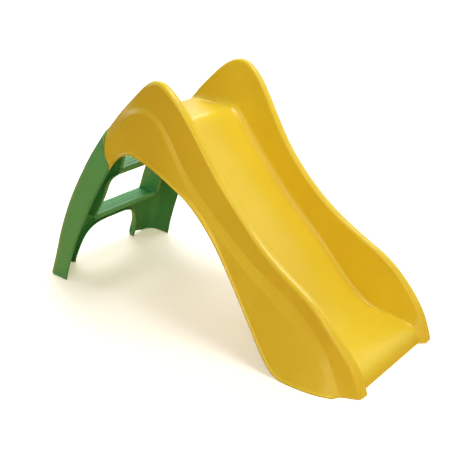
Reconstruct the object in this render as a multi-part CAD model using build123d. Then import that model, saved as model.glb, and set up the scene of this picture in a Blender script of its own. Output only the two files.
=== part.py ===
"""Toddler slide: a moulded yellow slide shell on a moulded green two-step ladder.

Millimetres, +Z up. The origin is on the floor under the middle of the slide, +X points
towards the exit and the XZ plane is the plane of symmetry. Both mouldings are thin shells.
Each is divided here into plain zones (deck, chute, walls, rims, skirts, rails, treads) that
stand JOINT_GAP apart, because one solid bent round every hollow would be no use for contact.
"""

from build123d import *
import os

import numpy as np

# Driving dimensions
WALL = 3.6            # wall of the slide shell
LADDER_WALL = 4.0     # wall of the ladder
JOINT_GAP = 0.15      # each zone stands back this far at its joints
RIM_R = 9.0           # radius of the rolled rim
BED_HALF = 128.0      # half-width of the flat bed
FILLET = 9.0          # bevel between the bed and the inner walls
SUBDIVIDE = 2         # stations made from each span of the hand-set lines

# Long lines of the left half of the slide shell, from the back of the deck to the exit: x, y, z
CREST = [
    (-278, 153, 490), (-258, 152, 513), (-225, 150, 551), (-175, 150, 597), (-139, 153, 626),
    (-97, 158, 644), (-60, 161, 636), (-20, 158, 601), (21, 151, 542), (68, 146, 468),
    (120, 143, 402), (189, 146, 332), (262, 153, 275), (337, 157, 232), (391, 161, 202),
    (440, 165, 160), (485, 163, 110), (516, 160, 62), (537, 160, 0),
]
BED = [
    (-262, 482), (-252, 508), (-221, 514), (-178, 514), (-143, 514),
    (-108, 513), (-80, 497), (-45, 453), (-8, 410), (34, 363),
    (84, 310), (146, 251), (206, 196), (276, 124), (338, 74),
    (395, 53), (452, 48), (490, 44), (507, 36),
]
LEDGE = [
    (-276, 183, 470), (-253, 176, 508), (-212, 172, 545), (-175, 171, 561), (-140, 171, 569),
    (-104, 171, 564), (-64, 171, 531), (-22, 170, 462), (20, 170, 407), (68, 169, 358),
    (120, 168, 313), (180, 169, 268), (250, 171, 227), (328, 174, 190), (372, 177, 159),
    (416, 181, 123), (449, 185, 84), (474, 190, 36), (491, 194, 0),
]
LEDGE_FOOT = [
    (-270, 191, 452), (-243, 188, 494), (-206, 181, 534), (-172, 180, 551), (-140, 180, 559),
    (-107, 180, 554), (-71, 179, 523), (-31, 179, 455), (12, 179, 392), (60, 179, 339),
    (112, 180, 293), (172, 182, 245), (241, 185, 203), (316, 189, 155), (358, 192, 124),
    (400, 195, 96), (435, 198, 66), (462, 201, 30), (486, 203, 0),
]
SKIRT_EDGE = [
    (-250, 195, 390), (-222, 193, 423), (-193, 191, 440), (-170, 191, 444), (-139, 190, 436),
    (-104, 190, 426), (-66, 190, 410), (-26, 189, 389), (15, 187, 365), (58, 186, 329),
    (109, 188, 273), (170, 196, 190), (234, 211, 110), (300, 229, 28), (345, 234, 0),
    (388, 233, 0), (426, 227, 0), (456, 219, 0), (480, 209, 0),
]
DECK_END, CHUTE_END, RUNOUT_END = 6, 13, 18   # spans of the hand-set lines
LEDGE_END = 18                                # the ledge and the skirt reach the floor here

LIP = [(507.3, 36), (514.5, 30), (518.5, 18), (520.5, 0), (516.7, 0), (514.8, 17), (511.5, 27),
       (507.3, 32)]

# Left ladder rail: back line and front edge, x and z; they start below the floor, which trims them
RAIL_BACK = [(-535, -4), (-512, 62), (-488.5, 135), (-461, 205), (-427.5, 274), (-389.5, 339),
             (-343.5, 409), (-284, 483)]
RAIL_FRONT = [(-450, -4), (-431, 55), (-406, 118), (-379, 177), (-340, 246), (-306, 305),
              (-274, 354), (-253, 384)]
TONGUE_GAP = 1.2      # play round the rail ends that slip inside the shell
RAIL_CORNER = 30.0    # radius of the rail's outer back corner
PLATE_FOOT_Y, PLATE_LEAN = 217.0, 0.055       # outer plate at the floor, and its lean
INNER_FOOT_Y, INNER_LEAN = 119.0, 0.035       # inner plate at the floor, and its lean
# Front edge of the inner plate: leg, then up to the upper tread, then up to the header
LOWER_LEG = [(-518, -4), (-498, 56), (-471, 107), (-440, 150), (-401, 174)]
UPPER_LEG = [(-399, 190), (-377, 229), (-361, 268), (-340, 308), (-304, 335)]
INNER_TOP = (-296, 468)   # where its back edge ends, under the header's back edge
TOP_LEG = [(-302, 351), (-280, 400), (-250, 440), (-210, 462), (-150, 468)]

# Treads: back x, front x, top z
TREADS = {"lower": (-466, -401, 190), "upper": (-381, -306, 350)}
TREAD_APRON, TREAD_NOSE = 24.0, 14.0          # depth of the back apron and the front nose
TREAD_RIBS, RIB_WIDE, RIB_HIGH = 3, 7.0, 2.0
HEADER = [(-150, 476), (-288, 476), (-310.5, 448), (-307.5, 445), (-286, 472), (-154, 472),
          (-154, 464), (-150, 464)]
HEADER_TOP = 476.0
BOSS_R, BOSS_BORE_R, BOSS_TOP = 6.5, 2.7, 510.2
SCREW_R, SCREW_HEAD_R, SCREW_HEAD, SCREW_REACH = 2.4, 5.5, 3.5, 18.0
SCREW_SPOTS = [(x, y) for x in (-210, -170) for y in (-85, 85)]
BED_RIB_STATIONS, BED_RIB_HIGH, BED_RIB_THICK, BED_RIB_HALF = (16, 19, 22, 25), 10.0, 3.0, 122.0


def refine(points):
    """Adds stations between hand-set points with a cubic through them."""
    points = np.array(points, float)
    slopes = np.gradient(points, axis=0)
    steps = np.linspace(0, 1, SUBDIVIDE, endpoint=False)
    rows = []
    for i in range(len(points) - 1):
        for t in steps:
            rows.append((2 * t**3 - 3 * t**2 + 1) * points[i] + (t**3 - 2 * t**2 + t) * slopes[i]
                        + (3 * t**2 - 2 * t**3) * points[i + 1] + (t**3 - t**2) * slopes[i + 1])
    return np.array(rows + [points[-1]])


def unit(vectors):
    """Vectors scaled to length one."""
    return vectors / np.linalg.norm(vectors, axis=-1, keepdims=True)


def offset_lines(lines, depth):
    """Moves a sheet of lines (line, station, xyz) to the depth behind it, mitred at each line."""
    along = unit(np.gradient(lines, axis=1))
    normals = unit(np.cross(along[:-1] + along[1:], np.diff(lines, axis=0)))
    before = np.concatenate([normals[:1], normals])
    after = np.concatenate([normals, normals[-1:]])
    mitre = unit(before + after)
    stretch = np.sum(mitre * after, axis=-1, keepdims=True)
    return lines - depth * mitre / stretch


def flattened(ring):
    """The points moved onto their own best plane, so that the end of a loft can be capped."""
    centre = ring.mean(axis=0)
    normal = np.linalg.svd(ring - centre)[2][2]
    return ring - np.outer((ring - centre) @ normal, normal)


def stand_back(lines):
    """A sheet of lines with its four borders drawn in by the joint gap."""
    lines = lines.copy()
    for rows in (lines, lines.swapaxes(0, 1)):
        for end, towards in ((0, 1), (-1, -2)):
            rows[end] += JOINT_GAP * unit(rows[towards] - rows[end])
    return lines


def zone(outer, inner, first=0, last=None):
    """A loft of the band between two sheets of lines, over a run of stations."""
    run = slice(first, None if last is None else last + 1)
    outer, inner = stand_back(outer[:, run]), stand_back(inner[:, run])
    rings = np.concatenate([outer, inner[::-1]]).swapaxes(0, 1)
    rings[0], rings[-1] = flattened(rings[0]), flattened(rings[-1])
    loft_rings = [Wire.make_polygon([tuple(p) for p in ring], close=True) for ring in rings]
    solid = Solid.make_loft(loft_rings)
    if solid.bounding_box().min.Z > -1e-6:
        return [solid]
    return split(solid, bisect_by=Plane.XY, keep=Keep.TOP).solids()


def cut_back(solids, neighbours):
    """The solids less what a twisted end of theirs shares with their neighbours."""
    return [piece for s in solids for piece in (s - neighbours).solids()]


def save(name, solids):
    """Writes one node's solids to its own file."""
    export_step(Compound(children=solids) if len(solids) > 1 else solids[0], f"parts/{name}.step")
    print(name, round(sum(s.volume for s in solids)))


def save_pair(name, solids):
    """Writes a piece of the left half and its mirror image on the right."""
    save(f"left_{name}", solids)
    save(f"right_{name}", [s.mirror(Plane.XZ) for s in solids])


def inner_y(z):
    """The outer face of a rail's inner plate."""
    return INNER_FOOT_Y - INNER_LEAN * z


def side_plate(outline, thickness):
    """A flat plate with an outline in x and z, set where a rail's inner plate leans inwards."""
    plate = extrude(Plane.XZ * make_face(outline), -thickness)
    tilt = float(np.degrees(np.arctan(INNER_LEAN)))
    plate = plate.moved(Location((0, INNER_FOOT_Y - thickness - JOINT_GAP, 0), (tilt, 0, 0)))
    return split(plate, bisect_by=Plane.XY, keep=Keep.TOP).solids()


def profile_bar(points, half_width):
    """A bar of constant x-z profile across the slide."""
    return extrude(Plane.XZ * make_face(Polyline(*points, close=True)), half_width, both=True)


def shell_lines():
    """The lines of the left half of the slide shell, from the bed to the skirt's edge."""
    crest, ledge = refine(CREST), refine(LEDGE)
    ledge_foot, edge = refine(LEDGE_FOOT), refine(SKIRT_EDGE)
    bed = refine([(x, BED_HALF, z) for x, z in BED])
    down = unit(np.cross(np.gradient(crest, axis=0), [0, -1, 0]))
    up = unit(np.cross(np.gradient(bed, axis=0), [0, 1, 0]))
    foot = bed + FILLET * up + [0, FILLET, 0]
    rim = [crest + [0, RIM_R * np.sin(a), 0] + down * RIM_R * (1 - np.cos(a))
           for a in np.radians((-80, -40, 0, 40, 80))]
    return bed, foot, rim, ledge, ledge_foot, edge


def build_shell():
    """The slide shell, zone by zone. Returns its sheet of lines and the sheet behind it."""
    bed, foot, rim, ledge, step, edge = shell_lines()
    middle = bed * [1, 0, 1]
    sheet = np.array([middle, bed, foot, *rim, ledge, step, edge])
    under = offset_lines(sheet, WALL)
    scale = SUBDIVIDE
    spans = {"platform_deck": (0, DECK_END), "chute_bed": (DECK_END, CHUTE_END),
             "chute_runout": (CHUTE_END, RUNOUT_END)}
    for name, (first, last) in spans.items():
        run = (first * scale, last * scale)
        top = np.array([bed * [1, -1, 1], bed])
        below = np.array([under[1] * [1, -1, 1], under[1]])
        save(name, zone(top, below, *run))
    rim_zone = zone(sheet[3:8], under[3:8])
    save_pair("inner_wall", cut_back(zone(sheet[1:4], under[1:4]), rim_zone))
    save_pair("rim", rim_zone)
    upper_side = zone(sheet[7:9], under[7:9])
    ledge = zone(sheet[8:10], under[8:10], 0, LEDGE_END * scale)
    save_pair("upper_side", upper_side)
    save_pair("ledge", cut_back(ledge, upper_side))
    save_pair("skirt", zone(sheet[9:11], under[9:11], 0, LEDGE_END * scale))
    return sheet, under


def build_lip_and_ribs(bed_under):
    """The lip that folds down to the floor at the exit, and the ribs under the chute."""
    save("exit_lip", profile_bar(LIP, BED_HALF - JOINT_GAP).solids())
    ribs = []
    for i in BED_RIB_STATIONS:
        x, z = bed_under[i, 0], bed_under[i, 2]
        dx, dz = unit(bed_under[i + 1] - bed_under[i - 1])[[0, 2]] * BED_RIB_THICK / 2
        nx, nz = unit(np.array([dz, -dx]))
        deep = BED_RIB_HIGH + 2 * JOINT_GAP
        ring = [(x + side * dx + d * nx, z + side * dz + d * nz)
                for side, d in ((-1, 2 * JOINT_GAP), (1, 2 * JOINT_GAP), (1, deep), (-1, deep))]
        ribs += profile_bar(ring, BED_RIB_HALF).solids()
    save("bed_cross_ribs", ribs)


def build_tongues(sheet):
    """The ladder's rail ends that slip inside the shell's side walls."""
    outer = offset_lines(sheet, WALL + TONGUE_GAP)
    inner = offset_lines(sheet, WALL + TONGUE_GAP + LADDER_WALL)
    save_pair("rail_tongue", zone(outer[7:11], inner[7:11], 1, 4))


def build_rails():
    """Each rail: a curved back web, a round corner and a leaning outer plate."""
    back, front = refine(RAIL_BACK), refine(RAIL_FRONT)
    plate_y = PLATE_FOOT_Y - PLATE_LEAN * back[:, 1]
    forward = unit(front - back)

    def line(xz, y):
        return np.column_stack([xz[:, 0], y, xz[:, 1]])

    lines = [line(back, inner_y(back[:, 1]))]
    for a in np.radians((0, 30, 60, 90)):
        lines.append(line(back + forward * RAIL_CORNER * (1 - np.cos(a)),
                          plate_y - RAIL_CORNER * (1 - np.sin(a))))
    lines.append(line(front, PLATE_FOOT_Y - PLATE_LEAN * front[:, 1]))
    outer = np.array(lines)
    inner = offset_lines(outer, LADDER_WALL)
    save_pair("rail_web", zone(outer[0:2], inner[0:2]))
    plate = zone(outer[4:6], inner[4:6])
    save_pair("rail_corner", cut_back(zone(outer[1:5], inner[1:5]), plate))
    save_pair("rail_plate", plate)


def build_inner_plates():
    """Each rail's inner plate, waisted between the floor, the treads and the header."""
    edges = (LOWER_LEG, UPPER_LEG, TOP_LEG, [INNER_TOP] + RAIL_BACK[-2::-1])
    outline = Polyline(*(tuple(p) for edge in edges for p in refine(edge)), close=True)
    save_pair("inner_plate", side_plate(outline, LADDER_WALL))


def build_treads():
    """Each tread: a channel with a back apron, a short front nose and raised grip ribs."""
    for name, (back, front, top) in TREADS.items():
        t = LADDER_WALL
        half = inner_y(top) - t - 4 * JOINT_GAP
        ring = [(back, top), (front, top), (front, top - TREAD_NOSE),
                (front - t, top - TREAD_NOSE), (front - t, top - t), (back + t, top - t),
                (back + t, top - TREAD_APRON), (back, top - TREAD_APRON)]
        tread = profile_bar(ring, half)
        pitch = (front - back) / (TREAD_RIBS + 1)
        for i in range(TREAD_RIBS):
            rib = Box(RIB_WIDE, 2 * half - 16, RIB_HIGH + 1,
                      align=(Align.CENTER, Align.CENTER, Align.MIN))
            tread += Pos(back + pitch * (i + 1), 0, top - 1) * rib
        save(f"{name}_tread", tread.solids())


def build_header():
    """The header under the deck, the deck's screw bosses and the screws between them."""
    half = inner_y(HEADER_TOP) - LADDER_WALL - 4 * JOINT_GAP
    up = (Align.CENTER, Align.CENTER, Align.MIN)
    header = profile_bar(HEADER, half)
    bosses, screws = [], []
    plate_z = HEADER_TOP - LADDER_WALL
    for x, y in SCREW_SPOTS:
        header -= Pos(x, y, plate_z - 5) * Cylinder(BOSS_BORE_R, 20, align=up)
        height = BOSS_TOP - HEADER_TOP - JOINT_GAP
        boss = Cylinder(BOSS_R, height, align=up) - Cylinder(BOSS_BORE_R, height, align=up)
        bosses.append(Pos(x, y, HEADER_TOP + JOINT_GAP) * boss)
        screw = Pos(0, 0, -SCREW_HEAD) * Cylinder(SCREW_HEAD_R, SCREW_HEAD, align=up)
        screw += Cylinder(SCREW_R, SCREW_REACH, align=up)
        screws.append(Pos(x, y, plate_z - JOINT_GAP) * screw)
    save("ladder_header", header.solids())
    save("deck_bosses", [b.solid() for b in bosses])
    save("joining_screws", [s.solid() for s in screws])


if __name__ == "__main__":
    os.makedirs("parts", exist_ok=True)
    sheet, under = build_shell()
    build_lip_and_ribs(under[1])
    build_tongues(sheet)
    build_rails()
    build_inner_plates()
    build_treads()
    build_header()
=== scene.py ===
"""Toddler slide: a moulded yellow slide shell on a moulded green two-step ladder.

Every piece is a thin moulded wall. It starts as a grid of points worked out with numpy: the
corners of a cross-section are smooth lines along the piece, the corners are rounded with exact
arcs, and the wall gets its thickness and its half-round borders from that grid.
Lengths are millimetres until a mesh is made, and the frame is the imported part's own.
"""

import logging
from dataclasses import dataclass, field
from enum import Enum

import bpy
import numpy as np
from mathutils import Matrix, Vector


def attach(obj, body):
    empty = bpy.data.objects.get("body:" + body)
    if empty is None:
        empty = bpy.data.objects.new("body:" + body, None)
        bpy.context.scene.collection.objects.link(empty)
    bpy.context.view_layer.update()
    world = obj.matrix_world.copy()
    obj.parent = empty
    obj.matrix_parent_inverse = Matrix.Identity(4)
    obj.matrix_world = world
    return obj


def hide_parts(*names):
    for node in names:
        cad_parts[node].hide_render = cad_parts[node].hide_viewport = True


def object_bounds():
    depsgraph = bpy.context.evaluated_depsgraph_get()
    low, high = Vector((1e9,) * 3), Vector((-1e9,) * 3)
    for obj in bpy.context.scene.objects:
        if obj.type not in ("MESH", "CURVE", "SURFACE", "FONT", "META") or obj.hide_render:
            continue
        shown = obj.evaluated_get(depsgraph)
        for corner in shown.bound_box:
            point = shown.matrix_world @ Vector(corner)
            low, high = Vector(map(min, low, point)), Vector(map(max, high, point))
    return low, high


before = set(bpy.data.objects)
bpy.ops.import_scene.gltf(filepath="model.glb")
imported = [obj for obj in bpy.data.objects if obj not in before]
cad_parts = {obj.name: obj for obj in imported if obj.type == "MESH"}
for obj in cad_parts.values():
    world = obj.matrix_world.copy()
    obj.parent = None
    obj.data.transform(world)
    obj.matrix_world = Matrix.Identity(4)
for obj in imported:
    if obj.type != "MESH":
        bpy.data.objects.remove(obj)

CAD_BOX = [list(map(float, corner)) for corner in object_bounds()]
log = logging.getLogger("toddler_slide")

MM = 0.001
WALL = 3.6                  # wall of the slide shell
LADDER_WALL = 4.0           # wall of the ladder
FLOOR_Z = WALL / 2          # an edge line at this height gives a rounded edge that touches the floor
DRAWN_CENTRE = 1.6          # the middle of the drawing along x
ARC_SHARE = 0.49            # an arc takes at most this share of the sides beside its corner
LEAST_REACH = 0.05          # and its reach stays at least this long, so that no two points meet
NEARLY_ONE = 0.9999999      # limit of a cosine, so that a straight corner has a finite reach


class Slot(Enum):
    """The record's material slots."""

    SHELL = "yellow_shell"
    LADDER = "green_ladder"
    STEEL = "screw_steel"


# ---------------------------------------------------------------------------------------------
# Curves and sheets
# ---------------------------------------------------------------------------------------------


def unit(vectors: np.ndarray) -> np.ndarray:
    """Scales vectors to length one, along the last axis."""
    return vectors / np.maximum(np.linalg.norm(vectors, axis=-1, keepdims=True), 1e-12)


def natural_spline(knots: np.ndarray, values: np.ndarray, at: np.ndarray) -> np.ndarray:
    """Natural cubic spline, which has continuous curvature.

    The second derivatives at the knots solve the usual tridiagonal system, with none at the two
    ends, and each span is the cubic that they and the end values give.

    Args:
        knots: rising parameter of each value, shape (n,).
        values: the values, shape (n, d).
        at: the parameters wanted, shape (m,).

    Returns:
        The spline at those parameters, shape (m, d).
    """
    n, h = len(knots), np.diff(knots)[:, None]
    system = np.eye(n)
    right = np.zeros_like(values)
    inner = np.arange(1, n - 1)
    system[inner, inner - 1] = h[:-1, 0]
    system[inner, inner] = 2 * (h[:-1, 0] + h[1:, 0])
    system[inner, inner + 1] = h[1:, 0]
    slope = np.diff(values, axis=0) / h
    right[1:-1] = 6 * np.diff(slope, axis=0)
    bend = np.linalg.solve(system, right)
    i = np.clip(np.searchsorted(knots, at, side="right") - 1, 0, n - 2)
    a, b, w = (knots[i + 1] - at)[:, None], (at - knots[i])[:, None], h[i]
    return (bend[i] * a**3 + bend[i + 1] * b**3) / (6 * w) \
        + (values[i] / w - bend[i] * w / 6) * a + (values[i + 1] / w - bend[i + 1] * w / 6) * b


def fair_line(rows: list[tuple[float, ...]], at: np.ndarray, ease: float = 0.0) -> np.ndarray:
    """A smooth line through given rows of station and values.

    The spline is sampled evenly, averaged with a Gaussian of width ease (in stations, mirrored
    through the two end points so that they stay put), and splined again at the stations wanted.

    Args:
        rows: station, then the values there.
        at: the stations wanted.
        ease: width of the averaging.

    Returns:
        The values, shape (len(at), values per row).
    """
    table = np.array(rows, float)
    if ease <= 0:
        return natural_spline(table[:, 0], table[:, 1:], at)
    step = 0.1
    even = np.arange(table[0, 0], table[-1, 0] + step / 2, step)
    line = natural_spline(table[:, 0], table[:, 1:], even)
    reach = int(4 * ease / step)
    offsets = np.arange(-reach, reach + 1)
    weights = np.exp(-0.5 * (offsets * step / ease) ** 2)
    weights /= weights.sum()
    head = 2 * line[0] - line[reach:0:-1]
    tail = 2 * line[-1] - line[-2:-reach - 2:-1]
    padded = np.concatenate([head, line, tail])
    windows = np.lib.stride_tricks.sliding_window_view(padded, 2 * reach + 1, axis=0)
    return natural_spline(even, windows @ weights, at)


def rounded_section(corners: np.ndarray, radii: np.ndarray, arc_steps: int,
                    flat_steps: tuple[int, ...]) -> np.ndarray:
    """Rounds the corners of a polygonal cross-section, for all stations at once.

    Each arc starts at radius / tan(half the corner's inner angle) from its corner and is the
    conic with the corner's weight sin(half angle), which is an exact circle.

    Args:
        corners: corner lines, shape (corners, stations, 3).
        radii: radius of each inner corner at each station, shape (corners - 2, stations).
        arc_steps: spans in each arc.
        flat_steps: spans in each straight stretch.

    Returns:
        The section lines, shape (lines, stations, 3).
    """
    to_last, to_next = corners[:-2] - corners[1:-1], corners[2:] - corners[1:-1]
    sides = np.minimum(np.linalg.norm(to_last, axis=-1), np.linalg.norm(to_next, axis=-1))
    a, b = unit(to_last), unit(to_next)
    cosine = np.clip(np.sum(a * b, axis=-1), -NEARLY_ONE, NEARLY_ONE)
    reach = np.minimum(radii * np.sqrt((1 + cosine) / (1 - cosine)), ARC_SHARE * sides)[..., None]
    reach = np.maximum(reach, LEAST_REACH)
    start, end = corners[1:-1] + a * reach, corners[1:-1] + b * reach
    weight = np.sqrt((1 - cosine) / 2)[..., None]
    t = np.linspace(0, 1, arc_steps + 1)[:, None, None]
    lines = [corners[:1]]
    last = corners[0]
    for k, (p, m, q, w) in enumerate(zip(start, corners[1:-1], end, weight)):
        f = np.linspace(0, 1, flat_steps[k] + 1)[1:-1, None, None]
        lines.append(last + f * (p - last))
        bend = (1 - t) ** 2 * p + 2 * t * (1 - t) * w * m + t**2 * q
        lines.append(bend / ((1 - t) ** 2 + 2 * t * (1 - t) * w + t**2))
        last = q
    f = np.linspace(0, 1, flat_steps[-1] + 1)[1:, None, None]
    lines.append(last + f * (corners[-1] - last))
    return np.concatenate(lines)


def sheet_normals(sheet: np.ndarray) -> np.ndarray:
    """Unit normals of a grid: its gradient along the columns crossed with that along the rows."""
    return unit(np.cross(unit(np.gradient(sheet, axis=1)), unit(np.gradient(sheet, axis=0))))


def thick_wall(sheet: np.ndarray, thickness: float, rings: int = 4) -> tuple[np.ndarray, np.ndarray]:
    """Gives a grid a wall behind it, closed all round with a half-round border.

    The back is the grid moved by the thickness against its normals. Between the two borders run
    rings on a half circle, whose middle stands half the thickness outside the border.

    Args:
        sheet: the visible side, shape (n, m, 3), its normals facing out.
        thickness: thickness of the wall.
        rings: rings between the two borders.

    Returns:
        Vertices, shape (v, 3), and quads, shape (f, 4).
    """
    n, m = sheet.shape[:2]
    normals = sheet_normals(sheet)
    back = sheet - thickness * normals
    index = np.arange(n * m).reshape(n, m)
    loop = np.concatenate([index[0, :-1], index[:-1, -1], index[-1, :0:-1], index[:0:-1, 0]])
    padded = np.pad(sheet, ((1, 1), (1, 1), (0, 0)), mode="reflect", reflect_type="odd")
    outward = np.zeros_like(sheet)
    outward[0] += unit(padded[0, 1:-1] - sheet[0])
    outward[-1] += unit(padded[-1, 1:-1] - sheet[-1])
    outward[:, 0] += unit(padded[1:-1, 0] - sheet[:, 0])
    outward[:, -1] += unit(padded[1:-1, -1] - sheet[:, -1])
    edge_out = outward.reshape(-1, 3)[loop]
    edge_normal = normals.reshape(-1, 3)[loop]
    edge_out = unit(edge_out - np.sum(edge_out * edge_normal, axis=1, keepdims=True) * edge_normal)
    front = sheet.reshape(-1, 3)[loop]
    angle = np.linspace(0, np.pi, rings + 2)[1:-1, None, None]
    half = thickness / 2
    middle = front - half * edge_normal
    ring_points = middle + half * (np.cos(angle) * edge_normal + np.sin(angle) * edge_out)
    points = np.concatenate([sheet.reshape(-1, 3), back.reshape(-1, 3), ring_points.reshape(-1, 3)])
    quads = np.stack([index[:-1, :-1], index[1:, :-1], index[1:, 1:], index[:-1, 1:]], axis=-1)
    quads = quads.reshape(-1, 4)
    count = len(loop)
    first_ring = 2 * n * m
    between = first_ring + np.arange(rings * count).reshape(rings, count)
    levels = np.concatenate([loop[None], between, loop[None] + n * m])
    following = np.roll(levels, -1, axis=1)
    border = np.stack([levels[:-1], levels[1:], following[1:], following[:-1]], axis=-1)
    return points, np.concatenate([quads, quads[:, ::-1] + n * m, border.reshape(-1, 4)])


def faces_out(points: np.ndarray, faces: np.ndarray) -> np.ndarray:
    """Turns all the faces of a closed shell outwards if the volume they enclose is negative."""
    p = points[faces]
    volume = np.sum(np.cross(p[:, 1] - p[:, 0], p[:, 2] - p[:, 0]) * p[:, 0]) \
        + np.sum(np.cross(p[:, 2] - p[:, 0], p[:, 3] - p[:, 0]) * p[:, 0])
    return faces if volume > 0 else faces[:, ::-1]


def mirrored(sheet: np.ndarray) -> np.ndarray:
    """The other side's copy of a sheet: y changes sign and the rows are read backwards."""
    return sheet[::-1] * [1, -1, 1]


def shift_x() -> float:
    """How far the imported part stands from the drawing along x, from its box, in millimetres."""
    low, high = CAD_BOX
    return (low[0] + high[0]) / 2 / MM - DRAWN_CENTRE


def make_piece(name: str, points: np.ndarray, faces: np.ndarray, finish: bpy.types.Material,
               slot: Slot, replaced: list[str]) -> bpy.types.Object:
    """Puts points and quads into a mesh object that rides on the body.

    Args:
        name: the piece's name.
        points: vertices in millimetres.
        faces: quads.
        finish: its material.
        slot: not used.
        replaced: the CAD nodes that it stands for.

    Returns:
        The new object.
    """
    points = points + [shift_x(), 0, 0]
    points[:, 2] = np.maximum(points[:, 2], 0)
    faces = faces_out(points, faces)
    mesh = bpy.data.meshes.new(name)
    mesh.vertices.add(len(points))
    mesh.vertices.foreach_set("co", (points * MM).astype(np.float32).ravel())
    mesh.loops.add(faces.size)
    mesh.loops.foreach_set("vertex_index", faces.astype(np.int32).ravel())
    mesh.polygons.add(len(faces))
    mesh.polygons.foreach_set("loop_start", np.arange(0, faces.size, 4, dtype=np.int32))
    mesh.polygons.foreach_set("use_smooth", np.ones(len(faces), bool))
    mesh.update(calc_edges=True)
    mesh.validate()
    mesh.materials.append(finish)
    piece = bpy.data.objects.new(name, mesh)
    bpy.context.collection.objects.link(piece)
    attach(piece, "root")
    if replaced:
        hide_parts(*replaced)
    log.info("%s: %d faces", name, len(faces))
    return piece


def join_walls(walls: list[tuple[np.ndarray, np.ndarray]]) -> tuple[np.ndarray, np.ndarray]:
    """Several closed shells as one set of points and faces, each turned outwards by itself."""
    starts = np.cumsum([0] + [len(points) for points, _ in walls])
    faces = [faces_out(points, quads) + start for (points, quads), start in zip(walls, starts)]
    return np.concatenate([points for points, _ in walls]), np.concatenate(faces)


# ---------------------------------------------------------------------------------------------
# Finishes
# ---------------------------------------------------------------------------------------------


def linear(colour: str) -> tuple[float, float, float, float]:
    """An sRGB hex colour as linear light, with the standard curve."""
    c = np.array([int(colour[i:i + 2], 16) for i in (1, 3, 5)]) / 255
    c = np.where(c <= 0.04045, c / 12.92, ((c + 0.055) / 1.055) ** 2.4)
    return (*map(float, c), 1.0)


def add_node(tree: bpy.types.NodeTree, kind: str, values: dict[str | int, object] | None = None,
             links: dict[str | int, bpy.types.NodeSocket] | None = None,
             **settings: object) -> bpy.types.Node:
    """Adds a node with its settings, socket values and incoming links.

    Args:
        tree: the material's node tree.
        kind: the node's type, without the ShaderNode prefix.
        values: socket name or number to value.
        links: socket name or number to the output that feeds it.
        **settings: properties of the node itself.

    Returns:
        The new node.
    """
    node = tree.nodes.new("ShaderNode" + kind)
    for key, value in settings.items():
        setattr(node, key, value)
    for key, value in (values or {}).items():
        node.inputs[key].default_value = value
    for key, socket in (links or {}).items():
        tree.links.new(socket, node.inputs[key])
    return node


@dataclass(frozen=True)
class MouldedPolypropylene:
    """Injection-moulded polypropylene, satin from a fine spark-eroded grain in the mould.

    To the eye it is one deep colour with a soft, wide highlight. Thin walls glow a little,
    the colour clouds very slightly where the melt flowed, and the highlight is broken up by the
    grain. The real grain is about 0.3 mm, too fine to show, so it is drawn at grain_mm.
    """

    name: str
    colour: str
    deep: str
    pale: str
    roughness: float = 0.30
    glow: float = 0.12
    cloud_mm: float = 120.0
    scuff_mm: float = 9.0
    scuff_range: float = 0.035         # roughness goes this far up and down
    grain_mm: float = 1.6
    grain_depth_mm: float = 0.012

    def material(self) -> bpy.types.Material:
        """Builds the node material."""
        material = bpy.data.materials.new(self.name)
        material.use_nodes = True
        tree = material.node_tree
        tree.nodes.clear()
        place = add_node(tree, "TexCoord").outputs["Object"]
        cloud = add_node(tree, "TexNoise", {"Scale": 1 / (self.cloud_mm * MM), "Detail": 2.0,
                                            "Roughness": 0.45}, {"Vector": place})
        tint = add_node(tree, "ValToRGB", links={"Fac": cloud.outputs["Fac"]})
        ramp = tint.color_ramp
        ramp.elements[0].position, ramp.elements[0].color = 0.3, linear(self.deep)
        ramp.elements[1].position, ramp.elements[1].color = 0.7, linear(self.pale)
        middle = ramp.elements.new(0.5)
        middle.color = linear(self.colour)
        grain = add_node(tree, "TexNoise", {"Scale": 1 / (self.grain_mm * MM), "Detail": 3.0,
                                            "Roughness": 0.6}, {"Vector": place})
        scuff = add_node(tree, "TexNoise", {"Scale": 1 / (self.scuff_mm * MM), "Detail": 4.0,
                                            "Roughness": 0.55}, {"Vector": place})
        gloss = add_node(tree, "MapRange", {"From Min": 0.3, "From Max": 0.7,
                                            "To Min": self.roughness - self.scuff_range,
                                            "To Max": self.roughness + self.scuff_range},
                         {"Value": scuff.outputs["Fac"]})
        ripple = add_node(tree, "Bump", {"Strength": 1.0, "Distance": self.grain_depth_mm * MM},
                          {"Height": grain.outputs["Fac"]})
        shader = add_node(tree, "BsdfPrincipled",
                          {"IOR": 1.49, "Subsurface Weight": self.glow,
                           "Subsurface Scale": 0.004, "Subsurface Radius": (1.0, 0.5, 0.15)},
                          {"Base Color": tint.outputs["Color"], "Roughness": gloss.outputs["Result"],
                           "Normal": ripple.outputs["Normal"]})
        add_node(tree, "OutputMaterial", links={"Surface": shader.outputs["BSDF"]})
        return material


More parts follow.
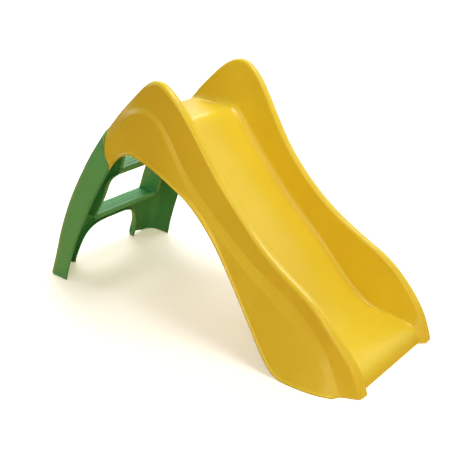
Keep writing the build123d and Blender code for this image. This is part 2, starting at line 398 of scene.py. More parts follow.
@dataclass(frozen=True)
class ZincPlatedSteel:
    """Zinc-plated steel screws: bright grey with fine turning marks and a faint mottle."""

    name: str = "zinc_plated_steel"
    colour: str = "#C9C9C4"
    dull: str = "#A9A9A2"
    roughness: float = 0.3
    mottle_mm: float = 2.5
    mark_mm: float = 0.7
    mark_depth_mm: float = 0.03

    def material(self) -> bpy.types.Material:
        """Builds the node material."""
        material = bpy.data.materials.new(self.name)
        material.use_nodes = True
        tree = material.node_tree
        tree.nodes.clear()
        place = add_node(tree, "TexCoord").outputs["Object"]
        mottle = add_node(tree, "TexNoise", {"Scale": 1 / (self.mottle_mm * MM), "Detail": 3.0},
                          {"Vector": place})
        tint = add_node(tree, "ValToRGB", links={"Fac": mottle.outputs["Fac"]})
        tint.color_ramp.elements[0].color = linear(self.dull)
        tint.color_ramp.elements[1].color = linear(self.colour)
        marks = add_node(tree, "TexNoise", {"Scale": 1 / (self.mark_mm * MM), "Detail": 2.0},
                         {"Vector": place})
        gloss = add_node(tree, "MapRange", {"To Min": self.roughness - 0.08,
                                            "To Max": self.roughness + 0.12},
                         {"Value": mottle.outputs["Fac"]})
        bump = add_node(tree, "Bump", {"Strength": 0.5, "Distance": self.mark_depth_mm * MM},
                        {"Height": marks.outputs["Fac"]})
        shader = add_node(tree, "BsdfPrincipled", {"Metallic": 1.0},
                          {"Base Color": tint.outputs["Color"], "Roughness": gloss.outputs["Result"],
                           "Normal": bump.outputs["Normal"]})
        add_node(tree, "OutputMaterial", links={"Surface": shader.outputs["BSDF"]})
        return material


# ---------------------------------------------------------------------------------------------
# The slide shell
# ---------------------------------------------------------------------------------------------

Rows = list[tuple[float, ...]]


@dataclass
class SlideShell:
    """The yellow shell: deck, chute, run-out, rolled rims, ledges and skirts in one moulding.

    The rows give a station from 0 at the back of the deck to 18 at the exit, then x, y, z of the
    left half. The section's corners are the bed's middle, its foot, the two edges of the rim,
    the ledge's crease, the foot of the ledge and the skirt's edge.
    """

    crest: Rows = field(default_factory=lambda: [
        (0, -278, 153, 490), (1, -258, 152, 513), (2, -225, 150, 551), (3, -175, 150, 597),
        (4, -139, 153, 628.5), (5, -97, 158, 647), (6, -60, 161, 638.5), (7, -20, 158, 602),
        (8, 21, 151, 542), (9, 68, 146, 468), (10, 120, 143, 402), (11, 189, 146, 332),
        (12, 262, 153, 275), (13, 337, 157, 232), (14, 391, 161, 202), (15, 440, 165, 160),
        (16, 485, 163, 110), (17, 516, 159, 62), (18, 540.5, 157.5, FLOOR_Z)])
    # the rim's two edges stand this far from its crest, along x and y
    rim_in: Rows = field(default_factory=lambda: [
        (0, 0, -16), (1, 0, -13), (2, 0, -11), (3, 0, -10), (14, 0, -10), (15, 0, -10),
        (16, 0, -10.5), (17, 0, -11), (18, -4, -13)])
    rim_out: Rows = field(default_factory=lambda: [
        (0, 0, 16), (1, 0, 14), (2, 0, 13), (3, 0, 13.5), (4, 0, 13.5), (14, 0, 13.5), (15, 0, 13.5),
        (16, 0, 13.5), (17, 0, 14), (18, -6, 16.5)])
    bed: Rows = field(default_factory=lambda: [
        (0, -262, 479.8), (0.35, -262, 496), (0.7, -256, 508.5), (1.1, -241, 513), (2, -213, 514),
        (3, -178, 514), (4, -143, 514), (5, -111, 513.2), (5.5, -96, 509), (6, -80, 496),
        (7, -45, 452.5), (8, -8, 409.5), (9, 34, 363), (10, 84, 310), (11, 146, 251),
        (12, 206, 196), (13, 276, 124), (14, 338, 73.5), (15, 395, 53), (16, 452, 48),
        (16.5, 478, 45.5), (17, 499, 38.5), (17.35, 511, 27), (17.7, 517.5, 13),
        (18, 520, FLOOR_Z)])
    foot_y: Rows = field(default_factory=lambda: [
        (0, 134), (3, 135), (12, 135), (13, 136), (15, 137.5), (16, 137), (17, 135), (18, 130)])
    ledge: Rows = field(default_factory=lambda: [
        (0, -276, 182, 469), (1, -253, 176.5, 499), (2, -213, 173, 541), (3, -175, 171, 561),
        (4, -140, 171, 569.5), (5, -104, 171, 564.5), (6, -64, 171, 531), (7, -22, 170, 462),
        (8, 20, 170, 407), (9, 68, 168.5, 358), (10, 120, 167.5, 313), (11, 180, 169, 268.5),
        (12, 250, 171, 227), (13, 328, 174, 190), (14, 372, 177, 159), (15, 416, 180.5, 123),
        (16, 449, 185, 84), (17, 474, 189.5, 36), (18, 491, 194, FLOOR_Z)])
    ledge_foot: Rows = field(default_factory=lambda: [
        (0, -269.5, 191, 450), (1, -243, 186, 478), (2, -206, 179.5, 525), (3, -172, 180, 549),
        (4, -140, 180, 559), (5, -107, 179.5, 554), (6, -71, 179, 523), (7, -31, 178.5, 455.5),
        (8, 12, 179, 392), (9, 60, 179, 339), (10, 112, 179.5, 293), (11, 172, 181.5, 245),
        (12, 241, 184.5, 203), (13, 316, 189, 155.5), (14, 358, 192, 124.5), (15, 400, 194.5, 96),
        (16, 435, 197.5, 66), (17, 462, 200.5, 38), (18, 486, 203, FLOOR_Z)])
    edge: Rows = field(default_factory=lambda: [
        (0, -250, 195.5, 389.5), (1, -222, 193, 423), (2, -193, 191, 440), (3, -170, 190.5, 444.5),
        (4, -139, 190, 436.5), (5, -104, 190, 426), (6, -66, 190, 410), (7, -26, 188.5, 389),
        (8, 15, 186.5, 365), (9, 58, 186, 329.5), (10, 109, 188, 273), (11, 170, 195.5, 190.5),
        (12, 234, 210.5, 110.5), (13, 300, 225.7, 28), (14, 345, 230.4, 4), (15, 388, 229.4, FLOOR_Z),
        (16, 426, 225.5, FLOOR_Z), (17, 456, 218.5, FLOOR_Z), (18, 480, 209, FLOOR_Z)])
    # station and radius of each rounded corner
    foot_radius: Rows = field(default_factory=lambda: [
        (0, 10), (2, 18), (12, 18), (14, 12), (15.5, 8), (18, 6)])
    rim_in_radius: Rows = field(default_factory=lambda: [
        (0, 8), (3, 10), (15, 10), (18, 10)])
    rim_out_radius: Rows = field(default_factory=lambda: [
        (0, 30), (1, 22), (2, 16), (3, 14), (15, 14), (18, 12)])
    # the rim's outer edge lies this far below its crest
    rim_fall: Rows = field(default_factory=lambda: [
        (0, 0), (2, 2.5), (16, 2.5), (18, 0)])
    ledge_radius: Rows = field(default_factory=lambda: [
        (0, 30), (1, 26), (2, 16), (3, 9), (16, 8), (18, 6)])
    ledge_foot_radius: Rows = field(default_factory=lambda: [
        (0, 30), (1, 26), (2, 18), (3, 14), (18, 14)])
    # how far the rear end of the side bulges back
    bulge: Rows = field(default_factory=lambda: [(0, 9), (1, 4), (2, 0), (3, 0), (18, 0)])
    side_radius: float = 60.0  # the side's outward curve below the ledge
    bead: float = 2.8          # how far the lower edge turns out
    bead_band: float = 6.5     # and over what height
    bead_radius: float = 6.0
    crest_ease: float = 0.35   # widths of the averaging of the lines, in stations
    ease: float = 0.3
    edge_ease: float = 0.25
    arc_steps: int = 8
    flat_steps: tuple[int, ...] = (10, 12, 2, 8, 3, 4, 4, 2)
    tongue_gap: float = 1.2    # between the shell and the rail end inside it
    tongue_wall: float = 3.0
    tongue_lines: tuple[int, int] = (6, 56)    # the patch of the sheet that a rail end follows
    tongue_rows: tuple[int, int] = (1, 30)
    last: float = 18.0

    def stations(self) -> np.ndarray:
        """Station of each row of the sheet, closer together over the two end folds."""
        return np.concatenate([np.linspace(0, 1.2, 22, endpoint=False),
                               np.linspace(1.2, 16.4, 118, endpoint=False),
                               np.linspace(16.4, self.last, 34)])

    def half(self) -> np.ndarray:
        """The left half of the sheet, from the middle of the bed to the skirt's edge."""
        at = self.stations()
        crest = fair_line(self.crest, at, self.crest_ease)
        bed = fair_line(self.bed, at)
        zero = np.zeros(len(at))
        foot_y = fair_line(self.foot_y, at, self.ease)[:, 0]
        middle = np.column_stack([bed[:, 0], zero, bed[:, 1]])
        foot = np.column_stack([bed[:, 0], foot_y, bed[:, 1]])
        rim_in = crest + np.column_stack([fair_line(self.rim_in, at, self.ease), zero])
        fall = fair_line(self.rim_fall, at, self.ease)[:, 0]
        rim_out = crest + np.column_stack([fair_line(self.rim_out, at, self.ease), -fall])
        ledge = fair_line(self.ledge, at, self.ease)
        ledge_foot = fair_line(self.ledge_foot, at, self.ease)
        edge = fair_line(self.edge, at, self.edge_ease)
        bead = edge + self.bead_band * unit(ledge_foot - edge)
        edge = edge + [0, self.bead, 0]
        bulge = fair_line(self.bulge, at)[:, 0]
        side = (ledge_foot + bead) / 2 - np.column_stack([bulge, zero, zero])
        corners = np.array([middle, foot, rim_in, rim_out, ledge, ledge_foot, side, bead, edge])
        corners[..., 2] = np.maximum(corners[..., 2], FLOOR_Z)
        radii = [fair_line(rows, at, self.ease)[:, 0] for rows in (
            self.foot_radius, self.rim_in_radius, self.rim_out_radius, self.ledge_radius,
            self.ledge_foot_radius)]
        radii += [zero + self.side_radius, zero + self.bead_radius]
        return rounded_section(corners, np.array(radii), self.arc_steps, self.flat_steps)

    def sheet(self) -> np.ndarray:
        """The whole sheet: the right half, mirrored, then the left half."""
        half = self.half()
        return np.concatenate([mirrored(half)[:-1], half])

    def tongues(self, sheet: np.ndarray) -> list[np.ndarray]:
        """The ladder's two rail ends inside the shell: a patch of the sheet, moved inwards."""
        inside = sheet - (WALL + self.tongue_gap) * sheet_normals(sheet)
        (first, end), rows = self.tongue_lines, slice(*self.tongue_rows)
        return [inside[first:end, rows], inside[-end:-first, rows]]

    def build(self, finish: bpy.types.Material, green: bpy.types.Material) -> None:
        """Makes the shell and the rail ends that slip inside it."""
        sheet = self.sheet()
        sides = [f"{side}_{zone}" for side in ("left", "right")
                 for zone in ("inner_wall", "rim", "upper_side", "ledge", "skirt")]
        make_piece("slide_shell", *thick_wall(sheet, WALL), finish, Slot.SHELL,
                   ["platform_deck", "chute_bed", "chute_runout", "exit_lip"] + sides)
        walls = [thick_wall(tongue, self.tongue_wall) for tongue in self.tongues(sheet)]
        make_piece("rail_tongues", *join_walls(walls), green, Slot.LADDER,
                   ["left_rail_tongue", "right_rail_tongue"])


# ---------------------------------------------------------------------------------------------
# The ladder
# ---------------------------------------------------------------------------------------------


@dataclass
class LadderFrame:
    """The lines that the ladder's pieces share, as functions of height above the floor."""

    # height and x of the rear web's face and of the outer plate's front edge
    back: Rows = field(default_factory=lambda: [
        (FLOOR_Z, -533.2), (62, -512), (135, -488.5), (205, -461), (274, -427.5),
        (339, -389.5), (409, -343.5), (487.5, -280.5)])
    front: Rows = field(default_factory=lambda: [
        (FLOOR_Z, -448), (55, -431), (118, -406), (177, -379), (246, -340), (305, -306),
        (354, -274), (386, -252.2)])
    plate_foot_y: float = 218.5
    plate_lean: float = 0.055
    overlap: float = 0.12      # how far a piece laid over the web stands off it

    def back_x(self, z: np.ndarray) -> np.ndarray:
        """x of the rear web's face at a height."""
        return fair_line(self.back, np.ravel(z))[:, 0].reshape(np.shape(z))

    def back_tilt(self, z: np.ndarray) -> np.ndarray:
        """Direction into the rails, square to the rear web, at a height."""
        slope = (self.back_x(z + 1.0) - self.back_x(z - 1.0)) / 2.0
        return unit(np.stack([np.ones_like(slope), np.zeros_like(slope), -slope], axis=-1))

    def plate_y(self, z: np.ndarray) -> np.ndarray:
        """y of the outer plate, which leans in as it rises."""
        return self.plate_foot_y - self.plate_lean * z

    def on_web(self, y: np.ndarray, z: np.ndarray, proud: float = 0.0) -> np.ndarray:
        """Points on the rear web's face, or standing proud of it."""
        y, z = np.broadcast_arrays(np.asarray(y, float), np.asarray(z, float))
        place = np.stack([self.back_x(z), y, z], axis=-1)
        return place - proud * self.back_tilt(z)


@dataclass
class Rails:
    """The two rails: a rear web, a large round corner and a leaning outer plate."""

    ladder: LadderFrame
    corner: float = 36.0
    rows: int = 64
    steps: int = 12            # spans in the corner's arc and in each flat
    web_lift: float = 13.0     # the web's lower edge stands this far off the floor
    arch_rise: float = 0.12    # and rises to that within this share of the web's width
    top_bulge: float = 8.0     # the top of the plate follows the shell's bulging edge
    # height and y of the web's inner edge
    web_edge: Rows = field(default_factory=lambda: [
        (0, 128), (46, 126), (73, 121), (93, 114), (120, 107), (180, 104), (186, 110),
        (192, 118), (230, 114), (270, 110), (335, 107), (360, 107), (400, 108), (487, 110)])

    def sheet(self) -> np.ndarray:
        """One rail: section lines from the web's inner edge round to the plate's front edge."""
        share = np.linspace(0, 1, self.rows)
        knots = np.linspace(0, 1, len(self.ladder.back))
        back = natural_spline(knots, np.array([(x, z) for z, x in self.ladder.back], float), share)
        front = natural_spline(knots, np.array([(x, z) for z, x in self.ladder.front], float), share)
        edge_rows = np.array(self.web_edge, float)
        inner_y = np.interp(back[:, 1], edge_rows[:, 0], edge_rows[:, 1])
        web = np.column_stack([back[:, 0], inner_y, back[:, 1]])
        outer = np.column_stack([back[:, 0], self.ladder.plate_y(back[:, 1]), back[:, 1]])
        nose = np.column_stack([front[:, 0], self.ladder.plate_y(front[:, 1]), front[:, 1]])
        corners = np.array([web, outer, nose])
        radii = np.full((1, self.rows), self.corner)
        sheet = rounded_section(corners, radii, self.steps, (self.steps, self.steps))
        line = np.arange(len(sheet))
        across = np.clip(line / self.steps, 0, 1)
        arch = np.sqrt(np.clip(across / self.arch_rise, 0, 1)) * (1 - across**1.5)
        lift = self.web_lift * arch[:, None] * (1 - share) ** 14
        sheet[..., 2] += lift
        sheet[..., 0] += self.ladder.back_x(sheet[..., 2]) - self.ladder.back_x(sheet[..., 2] - lift)
        on_plate = np.clip((line - 2 * self.steps) / self.steps, 0, 1)
        sheet[..., 0] -= self.top_bulge * np.sin(np.pi * on_plate)[:, None] * share**8
        return sheet

    def build(self, finish: bpy.types.Material) -> None:
        """Makes the left and right rails."""
        sheet = self.sheet()
        for side, grid in (("left", sheet), ("right", mirrored(sheet))):
            make_piece(f"{side}_rail", *thick_wall(grid, LADDER_WALL), finish, Slot.LADDER,
                       [f"{side}_rail_web", f"{side}_rail_corner", f"{side}_rail_plate"])


# height, y of the web corner, then x, y, z of the front edge and the width of its flange
LOWER_GUSSET: Rows = [
    (186, 115, -401, 127, 184, 5), (205, 114, -391, 122, 205, 6), (240, 110.5, -374, 114.5, 240, 9),
    (275, 107, -360, 108, 275, 13), (308, 105, -341, 105, 310, 15), (333, 104, -306, 106, 336, 13),
    (352, 104, -290, 107, 352, 10)]
UPPER_GUSSET: Rows = [
    (341, 104.3, -300, 106.3, 341, 9), (370, 105, -287, 107, 372, 10), (400, 106, -276, 108, 402, 12),
    (430, 110, -256, 112, 432, 12), (472, 116, -222, 117, 472, 8)]


@dataclass
class Gussets:
    """The inner plates that stand on the tread ends, each folded round the web's inner edge."""

    ladder: LadderFrame
    name: str
    replaced: bool             # whether they stand for the CAD's inner plates
    rows: Rows
    count: int = 40
    strip_width: float = 12.0  # along the web
    lip_radius: float = 3.0
    web_radius: float = 5.0
    wall: float = LADDER_WALL - 0.6

    def sheet(self) -> np.ndarray:
        """The left plate: flange, front edge, web corner and a strip along the web."""
        table = np.array(self.rows, float)
        share = np.linspace(0, 1, self.count)
        knots = np.linspace(0, 1, len(table))
        line = natural_spline(knots, table, share)
        z, web_y, front, flange = line[:, 0], line[:, 1], line[:, 2:5], line[:, 5]
        proud = self.ladder.overlap
        web = self.ladder.on_web(web_y, z, proud)
        strip = self.ladder.on_web(web_y + self.strip_width, z, proud)
        zero = np.zeros_like(flange)
        lip = front + np.column_stack([zero, flange, zero])
        corners = np.array([lip, front, web, strip])
        radii = np.array([zero + self.lip_radius, zero + self.web_radius])
        return rounded_section(corners, radii, 6, (4, 14, 3))

    def build(self, finish: bpy.types.Material) -> None:
        """Makes the left and right plates."""
        sheet = self.sheet()
        for side, grid in (("left", sheet), ("right", mirrored(sheet))):
            make_piece(f"{side}_{self.name}", *thick_wall(grid, self.wall), finish,
                       Slot.LADDER, [f"{side}_inner_plate"] if self.replaced else [])


# share, then y and z of the apron's lower edge, from the middle to the left end
LOWER_APRON: Rows = [
    (0, 0, 141.5), (0.14, 28, 140.4), (0.28, 56, 136.5), (0.42, 84, 124), (0.55, 104.5, 100),
    (0.68, 116, 68), (0.8, 121.5, 37), (0.88, 123, 16), (0.94, 121.5, 3), (1.0, 131, 2)]
UPPER_APRON: Rows = [
    (0, 0, 326), (0.3, 35, 325.7), (0.6, 70, 323), (0.85, 97, 313), (1.0, 109, 300)]


@dataclass
class Tread:
    """A tread: a nose, a ribbed top, a rear apron with an arched lower edge, and its flange.

    The columns follow the apron's lower edge, so a long leg beside the arch is part of the same
    sheet.
    """

    ladder: LadderFrame
    name: str
    top: float
    front: float
    end_scale: float           # width of the nose, as a share of the apron's
    lower_edge: Rows
    nose: float = 14.0
    flange: tuple[float, float] = (24.0, 15.0)    # depth in the middle and at the ends
    ribs: int = 3
    rib_height: float = 2.0
    rib_width: float = 6.5
    plain_end: float = 17.0    # the ribs end this far from the tread's ends
    rib_fade: float = 5.0      # and fade out over this length
    radii: tuple[float, float, float] = (3.5, 6.0, 4.0)    # nose, rear corner, apron's edge
    lowest: float = FLOOR_Z + 0.2
    half_columns: int = 70

    def sheet(self) -> np.ndarray:
        """The tread's grid, nose to flange, right end to left end."""
        table = np.array(self.lower_edge, float)
        share = np.linspace(0, 1, self.half_columns)
        line = natural_spline(table[:, 0], table[:, 1:], share)
        y = np.concatenate([-line[:0:-1, 0], line[:, 0]])
        low = np.concatenate([line[:0:-1, 1], line[:, 1]])
        low = np.maximum(low, self.lowest)
        across = np.concatenate([share[:0:-1], share])
        wide = y * self.end_scale
        flat = np.ones_like(y)
        depth = self.flange[0] + (self.flange[1] - self.flange[0]) * across
        edge = self.ladder.on_web(y, low, self.ladder.overlap)
        inward = edge + depth[:, None] * self.ladder.back_tilt(low)
        rear = self.ladder.on_web(y, flat * self.top, self.ladder.overlap)
        nose_top = np.column_stack([flat * self.front, wide, flat * self.top])
        nose_low = nose_top - [0, 0, self.nose]
        nose_low[:, 0] -= 1.0
        corners = np.array([nose_low, nose_top, rear, edge, inward])
        corners[..., 2] = np.maximum(corners[..., 2], self.lowest)
        grid = rounded_section(corners, np.outer(self.radii, flat), 6, (3, 64, 30, 3))
        return self.with_ribs(grid)

    def with_ribs(self, grid: np.ndarray) -> np.ndarray:
        """Raises the grip ribs: a row of cosine bumps along x, faded out near the two ends."""
        rear = float(self.ladder.back_x(np.array([self.top]))[0])
        depth = self.front - rear
        pitch = depth / (self.ribs + 1)
        x, y = grid[..., 0], grid[..., 1]
        on_top = grid[..., 2] > self.top - 0.02
        phase = (x - rear) / pitch
        nearest = np.clip(np.round(phase), 1, self.ribs)
        off = np.clip(np.abs(phase - nearest) * pitch / (self.rib_width / 2), 0, 1)
        half = np.abs(grid[:, -1:, 1]) - self.plain_end
        fade = np.clip((half - np.abs(y)) / self.rib_fade, 0, 1)
        fade = fade * fade * (3 - 2 * fade)
        bump = self.rib_height * 0.5 * (1 + np.cos(np.pi * off)) * fade * on_top
        raised = grid.copy()
        raised[..., 2] += bump
        return raised

    def build(self, finish: bpy.types.Material) -> None:
        """Makes the tread."""
        make_piece(self.name, *thick_wall(self.sheet(), LADDER_WALL), finish, Slot.LADDER,
                   [self.name])


@dataclass
class Header:
    """The ladder's top: an apron in the web's face, a top ledge and a plate under the deck."""

    ladder: LadderFrame
    top: float = 476.0
    front: float = -150.0
    half_width: float = 133.5
    low: float = 446.0         # apex of the arch in the lower edge
    arch: float = 14.0         # and how far it drops at the ends
    flange: float = 14.0
    lip: float = 12.0
    radii: tuple[float, float, float] = (4.0, 7.0, 4.0)
    columns: int = 81

    def build(self, finish: bpy.types.Material) -> None:
        """Makes the header, with a shallow arch in its lower edge."""
        y = np.linspace(-self.half_width, self.half_width, self.columns)
        flat = np.ones_like(y)
        low = self.low - self.arch * (np.abs(y) / self.half_width) ** 5
        proud = self.ladder.overlap * 2
        edge = self.ladder.on_web(y, low, proud)
        inward = edge + self.flange * self.ladder.back_tilt(low)
        rear = self.ladder.on_web(y, flat * self.top, proud)
        front_top = np.column_stack([flat * self.front, y, flat * self.top])
        front_low = front_top - [0, 0, self.lip]
        corners = np.array([front_low, front_top, rear, edge, inward])
        grid = rounded_section(corners, np.outer(self.radii, flat), 6, (3, 20, 6, 3))
        make_piece("ladder_header", *thick_wall(grid, LADDER_WALL), finish, Slot.LADDER,
                   ["ladder_header"])


@dataclass
class JoiningScrews:
    """Four pan-head screws with a cross recess, from below through the header into the bosses."""

    spots: list[tuple[float, float]] = field(default_factory=lambda: [
        (x, y) for x in (-210.0, -170.0) for y in (-85.0, 85.0)])
    seat: float = 471.8
    head_radius: float = 5.5
    head_height: float = 3.2
    shank_radius: float = 2.2
    reach: float = 16.0
    pitch: float = 1.6
    recess: float = 1.6        # depth of the cross in the head
    arm: float = 0.75          # half the width of its bars
    around: int = 48

    def screw(self) -> tuple[np.ndarray, np.ndarray]:
        """One screw, point up, on the axis: rings whose radius and height follow a profile.

        The head's face is sunk by a cross: two bars at right angles, deepest in the middle.
        """
        head, deep = self.head_radius, self.head_height
        face = np.linspace(0.02, 0.82, 14) * head
        profile = [(r, -deep + 0.28 * (r / head) ** 4) for r in face]
        turn = np.linspace(0, np.pi / 2, 7)
        profile += [(head * (0.82 + 0.18 * np.sin(a)), -deep + 0.14 + 1.2 * (1 - np.cos(a)))
                    for a in turn[1:]]
        profile += [(head, -0.05), (self.shank_radius, 0.0)]
        z = np.linspace(0.4, self.reach - 2, 60)
        thread = self.shank_radius * (0.86 + 0.14 * np.cos(2 * np.pi * z / self.pitch))
        profile += list(zip(thread, z)) + [(0.02, self.reach)]
        r, z = np.array(profile).T
        angle = np.linspace(0, 2 * np.pi, self.around, endpoint=False)
        x, y = r[:, None] * np.cos(angle), r[:, None] * np.sin(angle)
        z = np.repeat(z[:, None], len(angle), axis=1)
        across = np.minimum(np.abs(x), np.abs(y))
        along = np.clip(1 - r[:, None] / (0.62 * head), 0, 1)
        sink = np.clip(1 - across / self.arm, 0, 1) ** 0.5 * along**0.7
        z += self.recess * sink * (np.arange(len(r)) < len(face))[:, None]
        rings, around = z.shape
        points = np.stack([x, y, z], axis=-1).reshape(-1, 3)
        index = np.arange(rings * around).reshape(rings, around)
        after = np.roll(index, -1, axis=1)
        quads = np.stack([index[:-1], after[:-1], after[1:], index[1:]], axis=-1).reshape(-1, 4)
        poles = len(points) + np.arange(2)
        ends = np.stack([points[:around].mean(0), points[-around:].mean(0)])
        step = np.arange(0, around, 2)
        fan = np.stack([step, (step + 1) % around, (step + 2) % around], axis=-1)
        lower = np.column_stack([np.full(len(step), poles[0]), index[0][fan[:, ::-1]]])
        upper = np.column_stack([np.full(len(step), poles[1]), index[-1][fan]])
        return np.concatenate([points, ends]), np.concatenate([quads, lower, upper])

    def build(self, finish: bpy.types.Material) -> None:
        """Makes the four screws as one piece."""
        points, quads = self.screw()
        walls = [(points + [x, y, self.seat], quads) for x, y in self.spots]
        make_piece("joining_screws", *join_walls(walls), finish, Slot.STEEL, ["joining_screws"])


# ---------------------------------------------------------------------------------------------
# Studio
# ---------------------------------------------------------------------------------------------


@dataclass
class Studio:
    """A plain pale floor, soft lights and the camera."""

    camera_at: tuple[float, float, float] = (1.304, -1.572, 1.143)
    pitch: float = 65.58
    heading: float = 39.66
    lens: float = 64.6
    aim: tuple[float, float, float] = (0.0, 0.0, 0.25)     # the lights face this point
    floor_size: float = 40.0
    floor_colour: str = "#FBFAFA"
    floor_shade: str = "#F8F7F7"
    bounce_colour: str = "#DAB072"
    painted_glow: float = 0.41         # painted glow on the floor that only the camera sees, lifting the shadow near the slide
    # painted bounce light: the warm tint of the glow near the slide
    painted_bounce_tint: str = "#FFF5D0"
    painted_glow_rise: tuple[float, float] = (0.8, 2.0)    # the painted glow turns into an even white between these distances
    world: float = 0.14        # the white dome overhead
    horizon: float = 0.24      # and near the horizon

    def floor(self) -> None:
        """A large matt floor, its grid very slightly uneven in tone."""
        side = np.linspace(-self.floor_size / 2, self.floor_size / 2, 3)
        x, y = np.meshgrid(side, side, indexing="ij")
        points = np.stack([x, y, np.zeros_like(x)], axis=-1).reshape(-1, 3)
        index = np.arange(9).reshape(3, 3)
        quads = np.stack([index[:-1, :-1], index[1:, :-1], index[1:, 1:], index[:-1, 1:]], axis=-1)
        mesh = bpy.data.meshes.new("studio_floor")
        mesh.from_pydata(points.tolist(), [], quads.reshape(-1, 4).tolist())
        material = bpy.data.materials.new("studio_paper")
        material.use_nodes = True
        tree = material.node_tree
        tree.nodes.clear()
        place = add_node(tree, "TexCoord").outputs["Object"]
        tone = add_node(tree, "TexNoise", {"Scale": 0.5, "Detail": 1.0}, {"Vector": place})
        tint = add_node(tree, "ValToRGB", links={"Fac": tone.outputs["Fac"]})
        tint.color_ramp.elements[0].color = linear(self.floor_shade)
        tint.color_ramp.elements[1].color = linear(self.floor_colour)
        paper = add_node(tree, "BsdfDiffuse", links={"Color": tint.outputs["Color"]})
        bounce = add_node(tree, "BsdfDiffuse", {"Color": linear(self.bounce_colour)})
        # painted light: the camera sees the floor glow, with a warm painted bounce near the slide
        # that lifts its shadow, and an even white further out
        away = add_node(tree, "VectorMath", links={0: place}, operation="LENGTH")
        start, full = self.painted_glow_rise
        rise = add_node(tree, "MapRange", {"From Min": start, "From Max": full},
                        {"Value": away.outputs["Value"]}, interpolation_type="SMOOTHSTEP")
        spill = add_node(tree, "ValToRGB", links={"Fac": rise.outputs["Result"]})
        near = np.array(linear(self.painted_bounce_tint)) * self.painted_glow
        spill.color_ramp.elements[0].color = (*map(float, near[:3]), 1.0)
        spill.color_ramp.elements[1].color = (1, 1, 1, 1)
        painted_glow = add_node(tree, "Emission", {"Strength": 1.0}, {"Color": spill.outputs["Color"]})
        lit = add_node(tree, "AddShader", links={0: paper.outputs["BSDF"],
                                                 1: painted_glow.outputs["Emission"]})
        seen = add_node(tree, "LightPath").outputs["Is Camera Ray"]
        shader = add_node(tree, "MixShader", links={0: seen, 1: bounce.outputs["BSDF"],
                                                    2: lit.outputs["Shader"]})
        add_node(tree, "OutputMaterial", links={"Surface": shader.outputs["Shader"]})
        mesh.materials.append(material)
        floor = bpy.data.objects.new("studio_floor", mesh)
        bpy.context.collection.objects.link(floor)

    def light(self, name: str, place: tuple[float, float, float], size: float, power: float,
              colour: str) -> None:
        """A square soft light that faces the middle of the slide.

        Args:
            name: its name.
            place: where it stands.
            size: its side, in metres.
            power: in watts.
            colour: sRGB hex.
        """
        data = bpy.data.lights.new(name, "AREA")
        data.shape, data.size, data.energy = "SQUARE", size, power
        data.color = linear(colour)[:3]
        lamp = bpy.data.objects.new(name, data)
        direction = np.array(place) - self.aim
        heading = np.arctan2(direction[0], -direction[1])
        pitch = np.arctan2(np.hypot(direction[0], direction[1]), direction[2])
        lamp.location = place
        lamp.rotation_euler = (float(pitch), 0, float(heading))
        bpy.context.collection.objects.link(lamp)

    def build(self) -> None:
        """Makes the floor, the lights, the world and the camera."""
        self.floor()
        self.light("key_softbox", (-2.0, 1.5, 2.7), 1.8, 50, "#FFFBF4")
        self.light("overhead_softbox", (0.9, 0.3, 3.2), 1.5, 58, "#FFFFFF")
        self.light("back_panel", (0.8, 3.0, 1.8), 3.2, 27, "#FFFFFF")
        self.light("left_panel", (-1.6, 2.6, 1.5), 2.4, 8, "#FFFFFF")
        self.light("front_softbox", (1.9, -2.6, 2.2), 1.6, 31, "#FFEFD2")
        self.light("side_softbox", (3.0, -1.6, 0.5), 1.4, 8, "#FFF8EC")
        self.light("low_softbox", (1.3, -2.5, 0.35), 1.0, 6, "#FFF3DC")
        self.light("rear_softbox", (-3.1, -1.0, 1.4), 1.2, 8, "#FFFFFF")
        world = bpy.data.worlds.new("studio_white")
        world.use_nodes = True
        tree = world.node_tree
        tree.nodes.clear()
        seen = add_node(tree, "LightPath").outputs["Is Camera Ray"]
        height = add_node(tree, "SeparateXYZ",
                          links={0: add_node(tree, "TexCoord").outputs["Generated"]})
        dome = add_node(tree, "MapRange", {"From Min": 0.0, "From Max": 0.9,
                                           "To Min": self.horizon, "To Max": self.world},
                        {"Value": height.outputs["Z"]}, interpolation_type="SMOOTHSTEP")
        white = linear("#FFFFFF")
        sky = add_node(tree, "Background", {"Color": white}, {"Strength": dome.outputs["Result"]})
        backdrop = add_node(tree, "Background", {"Color": white, "Strength": 1.0})
        shown = add_node(tree, "MixShader", links={0: seen, 1: sky.outputs["Background"],
                                                   2: backdrop.outputs["Background"]})
        add_node(tree, "OutputWorld", links={"Surface": shown.outputs["Shader"]})
        bpy.context.scene.world = world
        data = bpy.data.cameras.new("camera")
        data.lens, data.sensor_width, data.clip_end = self.lens, 36.0, 100
        camera = bpy.data.objects.new("camera", data)
        camera.location = self.camera_at
        camera.rotation_euler = (np.radians(self.pitch), 0, np.radians(self.heading))
        bpy.context.collection.objects.link(camera)
        scene = bpy.context.scene
        scene.camera = camera
        scene.view_settings.view_transform = "Standard"


def dress_cad_node(name: str, finish: bpy.types.Material) -> None:
    """Gives a CAD node that stays in view the finish of the moulding it belongs to."""
    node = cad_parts[name]
    if not node.material_slots:
        node.data.materials.append(finish)
    for material_slot in node.material_slots:
        material_slot.material = finish


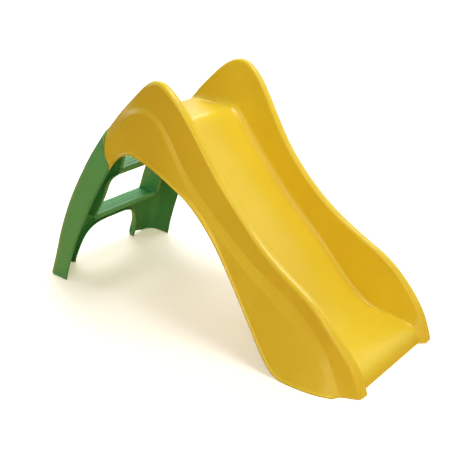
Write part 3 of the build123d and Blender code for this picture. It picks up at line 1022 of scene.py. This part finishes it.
def main() -> None:
    logging.basicConfig(level=logging.INFO, format="%(name)s %(message)s")
    yellow = MouldedPolypropylene("moulded_polypropylene_yellow", "#E9CC32", "#E7C92F",
                                  "#EBCF35").material()
    green = MouldedPolypropylene("moulded_polypropylene_green", "#5EB66E", "#5BB36B",
                                 "#61B971", glow=0.3).material()
    steel = ZincPlatedSteel().material()
    SlideShell().build(yellow, green)
    ladder = LadderFrame()
    Rails(ladder).build(green)
    Gussets(ladder, "lower_gusset", True, LOWER_GUSSET).build(green)
    Gussets(ladder, "upper_gusset", False, UPPER_GUSSET).build(green)
    Tread(ladder, "lower_tread", 190, -401, 0.97, LOWER_APRON).build(green)
    Tread(ladder, "upper_tread", 350, -306, 1.0, UPPER_APRON, flange=(12.0, 10.0),
          half_columns=40).build(green)
    Header(ladder).build(green)
    JoiningScrews().build(steel)
    for name in ("bed_cross_ribs", "deck_bosses"):
        dress_cad_node(name, yellow)
    Studio().build()


if __name__ == "__main__":
    main()
